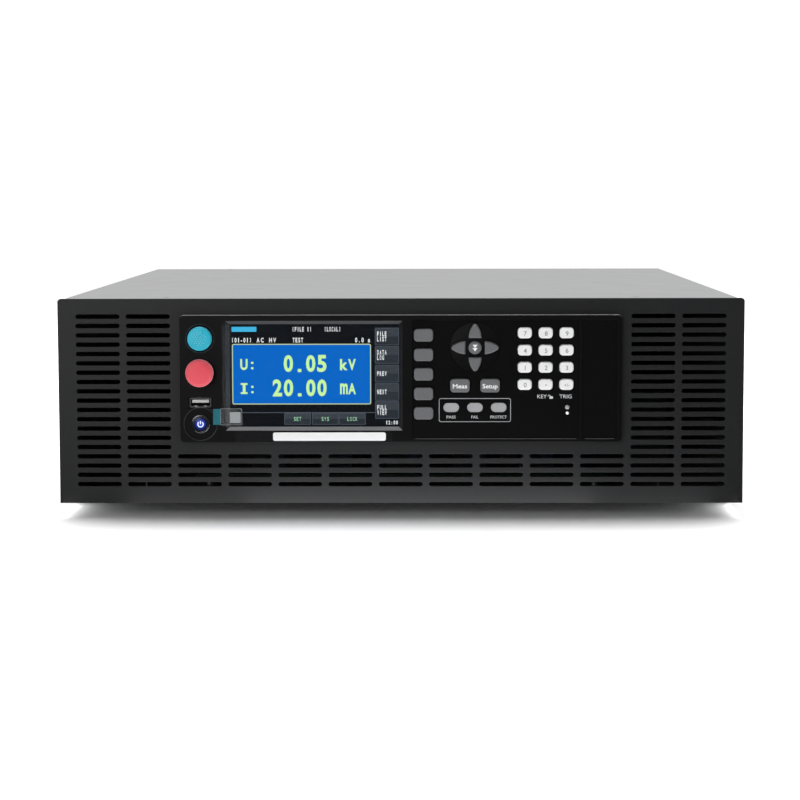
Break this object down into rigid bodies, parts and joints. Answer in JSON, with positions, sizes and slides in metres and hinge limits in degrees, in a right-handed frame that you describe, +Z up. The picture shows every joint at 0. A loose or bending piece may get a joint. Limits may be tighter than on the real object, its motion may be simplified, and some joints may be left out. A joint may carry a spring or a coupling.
{
  "type": "hipot tester",
  "caption": "Bench high-voltage withstand tester: wide dark case with a slotted front panel, and a bezel with a screen, keypad, START and STOP buttons, USB socket and power button.",
  "frame": {"origin": "on the surface below the feet, in the middle of the part's box seen from above", "axes": "+Z up, the front panel faces -Y, +X to the right of someone who faces the panel"},
  "size_m": [0.43, 0.5336, 0.137],
  "materials": {
    "dark_paint": "satin powder coat",
    "sheet_steel": "zinc plated",
    "rear_paint": "satin powder coat",
    "black_screws": "black oxide",
    "bright_steel": "plated",
    "foot_rubber": "matte",
    "bezel_plastic": "fine grain",
    "overlay_film": "fine grain",
    "screen_glass": "gloss",
    "clear_film": "clear",
    "grey_keys": "matte",
    "white_keys": "matte",
    "start_plastic": "matte",
    "stop_plastic": "matte",
    "power_face": "lit",
    "chrome_trim": "polished",
    "lens_plastic": "translucent",
    "socket_metal": "tin plated",
    "circuit_board": "solder mask",
    "core_steel": "varnished laminations",
    "winding": "enamelled wire",
    "bare_aluminium": "bare",
    "fan_plastic": "matte",
    "inlet_plastic": "matte",
    "terminal_plastic": "gloss",
    "brass_post": "bright"
  },
  "bodies": {
    "case": {"front_panel": "dark_paint", "top_cover": "dark_paint", "base_tray": "sheet_steel", "rear_panel": "rear_paint", "cover_angle": "sheet_steel", "case_screws": "black_screws", "pan_screws": "bright_steel", "feet": "foot_rubber", "bezel": "bezel_plastic", "panel_overlays": "overlay_film", "lcd_module": "screen_glass", "screen_film": "clear_film", "power_collar": "chrome_trim", "switch_barrels": "bezel_plastic", "indicator_lenses": "lens_plastic", "status_lights": "lens_plastic", "usb_socket": "socket_metal", "key_board": "circuit_board", "key_switches": "bezel_plastic", "transformer_core": "core_steel", "transformer_coil": "winding", "power_supply": "bare_aluminium", "main_board": "circuit_board", "heat_sink": "bare_aluminium", "fan_frames": "fan_plastic", "fan_guards": "bright_steel", "mains_inlet": "inlet_plastic", "signal_sockets": "socket_metal", "output_terminals": "terminal_plastic", "ground_post": "brass_post"},
    "soft_key_1": {"soft_key_1": "grey_keys"},
    "soft_key_2": {"soft_key_2": "grey_keys"},
    "soft_key_3": {"soft_key_3": "grey_keys"},
    "soft_key_4": {"soft_key_4": "grey_keys"},
    "soft_key_5": {"soft_key_5": "grey_keys"},
    "nav_right": {"nav_right": "grey_keys"},
    "nav_up": {"nav_up": "grey_keys"},
    "nav_left": {"nav_left": "grey_keys"},
    "nav_down": {"nav_down": "grey_keys"},
    "nav_enter": {"nav_enter": "grey_keys"},
    "meas_key": {"meas_key": "grey_keys"},
    "setup_key": {"setup_key": "grey_keys"},
    "num_key_7": {"num_key_7": "white_keys"},
    "num_key_8": {"num_key_8": "white_keys"},
    "num_key_9": {"num_key_9": "white_keys"},
    "num_key_4": {"num_key_4": "white_keys"},
    "num_key_5": {"num_key_5": "white_keys"},
    "num_key_6": {"num_key_6": "white_keys"},
    "num_key_1": {"num_key_1": "white_keys"},
    "num_key_2": {"num_key_2": "white_keys"},
    "num_key_3": {"num_key_3": "white_keys"},
    "num_key_0": {"num_key_0": "white_keys"},
    "num_key_dot": {"num_key_dot": "white_keys"},
    "num_key_sign": {"num_key_sign": "white_keys"},
    "start_button": {"start_button": "start_plastic"},
    "stop_button": {"stop_button": "stop_plastic"},
    "power_button": {"power_button": "power_face"},
    "fan_rotor_left": {"fan_rotor_left": "fan_plastic"},
    "fan_rotor_right": {"fan_rotor_right": "fan_plastic"},
    "ground_nut": {"ground_nut": "brass_post"}
  },
  "joints": [
    {"name": "soft_key_1_press", "type": "slide", "parent": "case", "child": "soft_key_1", "axis": [0, 1, 0], "range_m": [0, 0.001], "stiffness_N_per_m": 800},
    {"name": "soft_key_2_press", "type": "slide", "parent": "case", "child": "soft_key_2", "axis": [0, 1, 0], "range_m": [0, 0.001], "stiffness_N_per_m": 800},
    {"name": "soft_key_3_press", "type": "slide", "parent": "case", "child": "soft_key_3", "axis": [0, 1, 0], "range_m": [0, 0.001], "stiffness_N_per_m": 800},
    {"name": "soft_key_4_press", "type": "slide", "parent": "case", "child": "soft_key_4", "axis": [0, 1, 0], "range_m": [0, 0.001], "stiffness_N_per_m": 800},
    {"name": "soft_key_5_press", "type": "slide", "parent": "case", "child": "soft_key_5", "axis": [0, 1, 0], "range_m": [0, 0.001], "stiffness_N_per_m": 800},
    {"name": "nav_right_press", "type": "slide", "parent": "case", "child": "nav_right", "axis": [0, 1, 0], "range_m": [0, 0.001], "stiffness_N_per_m": 800},
    {"name": "nav_up_press", "type": "slide", "parent": "case", "child": "nav_up", "axis": [0, 1, 0], "range_m": [0, 0.001], "stiffness_N_per_m": 800},
    {"name": "nav_left_press", "type": "slide", "parent": "case", "child": "nav_left", "axis": [0, 1, 0], "range_m": [0, 0.001], "stiffness_N_per_m": 800},
    {"name": "nav_down_press", "type": "slide", "parent": "case", "child": "nav_down", "axis": [0, 1, 0], "range_m": [0, 0.001], "stiffness_N_per_m": 800},
    {"name": "nav_enter_press", "type": "slide", "parent": "case", "child": "nav_enter", "axis": [0, 1, 0], "range_m": [0, 0.001], "stiffness_N_per_m": 800},
    {"name": "meas_key_press", "type": "slide", "parent": "case", "child": "meas_key", "axis": [0, 1, 0], "range_m": [0, 0.001], "stiffness_N_per_m": 800},
    {"name": "setup_key_press", "type": "slide", "parent": "case", "child": "setup_key", "axis": [0, 1, 0], "range_m": [0, 0.001], "stiffness_N_per_m": 800},
    {"name": "num_key_7_press", "type": "slide", "parent": "case", "child": "num_key_7", "axis": [0, 1, 0], "range_m": [0, 0.001], "stiffness_N_per_m": 800},
    {"name": "num_key_8_press", "type": "slide", "parent": "case", "child": "num_key_8", "axis": [0, 1, 0], "range_m": [0, 0.001], "stiffness_N_per_m": 800},
    {"name": "num_key_9_press", "type": "slide", "parent": "case", "child": "num_key_9", "axis": [0, 1, 0], "range_m": [0, 0.001], "stiffness_N_per_m": 800},
    {"name": "num_key_4_press", "type": "slide", "parent": "case", "child": "num_key_4", "axis": [0, 1, 0], "range_m": [0, 0.001], "stiffness_N_per_m": 800},
    {"name": "num_key_5_press", "type": "slide", "parent": "case", "child": "num_key_5", "axis": [0, 1, 0], "range_m": [0, 0.001], "stiffness_N_per_m": 800},
    {"name": "num_key_6_press", "type": "slide", "parent": "case", "child": "num_key_6", "axis": [0, 1, 0], "range_m": [0, 0.001], "stiffness_N_per_m": 800},
    {"name": "num_key_1_press", "type": "slide", "parent": "case", "child": "num_key_1", "axis": [0, 1, 0], "range_m": [0, 0.001], "stiffness_N_per_m": 800},
    {"name": "num_key_2_press", "type": "slide", "parent": "case", "child": "num_key_2", "axis": [0, 1, 0], "range_m": [0, 0.001], "stiffness_N_per_m": 800},
    {"name": "num_key_3_press", "type": "slide", "parent": "case", "child": "num_key_3", "axis": [0, 1, 0], "range_m": [0, 0.001], "stiffness_N_per_m": 800},
    {"name": "num_key_0_press", "type": "slide", "parent": "case", "child": "num_key_0", "axis": [0, 1, 0], "range_m": [0, 0.001], "stiffness_N_per_m": 800},
    {"name": "num_key_dot_press", "type": "slide", "parent": "case", "child": "num_key_dot", "axis": [0, 1, 0], "range_m": [0, 0.001], "stiffness_N_per_m": 800},
    {"name": "num_key_sign_press", "type": "slide", "parent": "case", "child": "num_key_sign", "axis": [0, 1, 0], "range_m": [0, 0.001], "stiffness_N_per_m": 800},
    {"name": "start_button_press", "type": "slide", "parent": "case", "child": "start_button", "axis": [0, 1, 0], "range_m": [0, 0.0025], "stiffness_N_per_m": 600},
    {"name": "stop_button_press", "type": "slide", "parent": "case", "child": "stop_button", "axis": [0, 1, 0], "range_m": [0, 0.0025], "stiffness_N_per_m": 600},
    {"name": "power_button_press", "type": "slide", "parent": "case", "child": "power_button", "axis": [0, 1, 0], "range_m": [0, 0.0012], "stiffness_N_per_m": 800},
    {"name": "fan_rotor_left_turn", "type": "hinge", "parent": "case", "child": "fan_rotor_left", "pos_m": [0.0645, 0.23125, 0.074], "axis": [0, 1, 0], "continuous": true},
    {"name": "fan_rotor_right_turn", "type": "hinge", "parent": "case", "child": "fan_rotor_right", "pos_m": [-0.0285, 0.23125, 0.074], "axis": [0, 1, 0], "continuous": true},
    {"name": "ground_nut_turn", "type": "hinge", "parent": "case", "child": "ground_nut", "pos_m": [-0.1347, 0.25125, 0.038], "axis": [0, 1, 0], "continuous": true}
  ]
}
